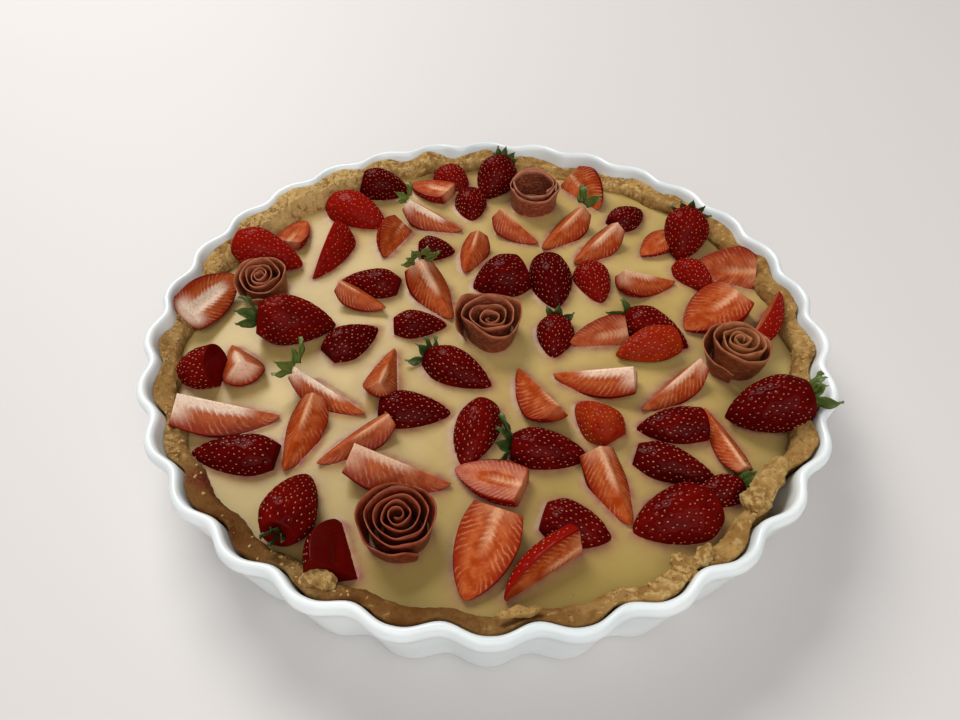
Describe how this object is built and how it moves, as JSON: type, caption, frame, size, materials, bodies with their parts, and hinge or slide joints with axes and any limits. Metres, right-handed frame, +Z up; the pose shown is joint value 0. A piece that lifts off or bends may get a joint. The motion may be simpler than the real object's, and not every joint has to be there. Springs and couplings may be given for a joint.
{
  "type": "fruit tart in a flan dish",
  "caption": "Round strawberry custard tart in a fluted white flan dish, with a pastry crust, cut strawberries and rolled fruit roses on top.",
  "frame": {"origin": "centre of the dish's foot, on the surface it stands on", "axes": "+Z up, -Y towards the front of the tart, +X to the right seen from the front"},
  "size_m": [0.302, 0.3036, 0.0523],
  "materials": {
    "glazed_ceramic": "glossy white glaze",
    "pastry": "baked, crumbly and matte",
    "custard": "satin",
    "strawberry_skin": "wet gloss with sunken seeds",
    "cut_strawberry": "moist cut flesh, streaked, with a pale core",
    "fruit_ribbon": "thin translucent ribbon, satin"
  },
  "bodies": {
    "root": {"berry_back_1": "cut_strawberry", "berry_back_3": "cut_strawberry", "berry_back_4": "strawberry_skin", "berry_back_6": "cut_strawberry", "berry_back_7": "cut_strawberry", "berry_back_8": "cut_strawberry", "berry_back_9": "cut_strawberry", "berry_back_left_1": "strawberry_skin", "berry_back_left_2": "strawberry_skin", "berry_back_left_4": "strawberry_skin", "berry_back_left_5": "strawberry_skin", "berry_back_right_2": "strawberry_skin", "berry_back_right_4": "cut_strawberry", "berry_front_1": "strawberry_skin", "berry_front_2": "cut_strawberry", "berry_front_3": "strawberry_skin", "berry_front_4": "cut_strawberry", "berry_front_6": "cut_strawberry", "berry_front_7": "cut_strawberry", "berry_front_left_1": "strawberry_skin", "berry_front_left_2": "strawberry_skin", "berry_front_left_3": "cut_strawberry", "berry_front_left_4": "cut_strawberry", "berry_front_left_5": "cut_strawberry", "berry_front_right_1": "strawberry_skin", "berry_front_right_2": "cut_strawberry", "berry_front_right_3": "strawberry_skin", "berry_front_right_4": "strawberry_skin", "berry_left_1": "cut_strawberry", "berry_left_10": "cut_strawberry", "berry_left_2": "strawberry_skin", "berry_left_3": "strawberry_skin", "berry_left_5": "strawberry_skin", "berry_left_7": "strawberry_skin", "berry_left_8": "cut_strawberry", "berry_left_9": "cut_strawberry", "berry_middle_10": "strawberry_skin", "berry_middle_11": "cut_strawberry", "berry_middle_12": "cut_strawberry", "berry_middle_2": "cut_strawberry", "berry_middle_3": "strawberry_skin", "berry_middle_4": "strawberry_skin", "berry_middle_5": "strawberry_skin", "berry_middle_7": "strawberry_skin", "berry_middle_8": "cut_strawberry", "berry_middle_9": "strawberry_skin", "berry_right_1": "cut_strawberry", "berry_right_3": "cut_strawberry", "berry_right_4": "cut_strawberry", "berry_right_5": "strawberry_skin", "berry_right_7": "cut_strawberry", "berry_right_8": "strawberry_skin", "crust": "pastry", "custard": "custard", "dish": "glazed_ceramic", "rose_back": "fruit_ribbon", "rose_front": "fruit_ribbon", "rose_left": "fruit_ribbon", "rose_middle": "fruit_ribbon", "rose_right": "fruit_ribbon"}
  },
  "joints": []
}
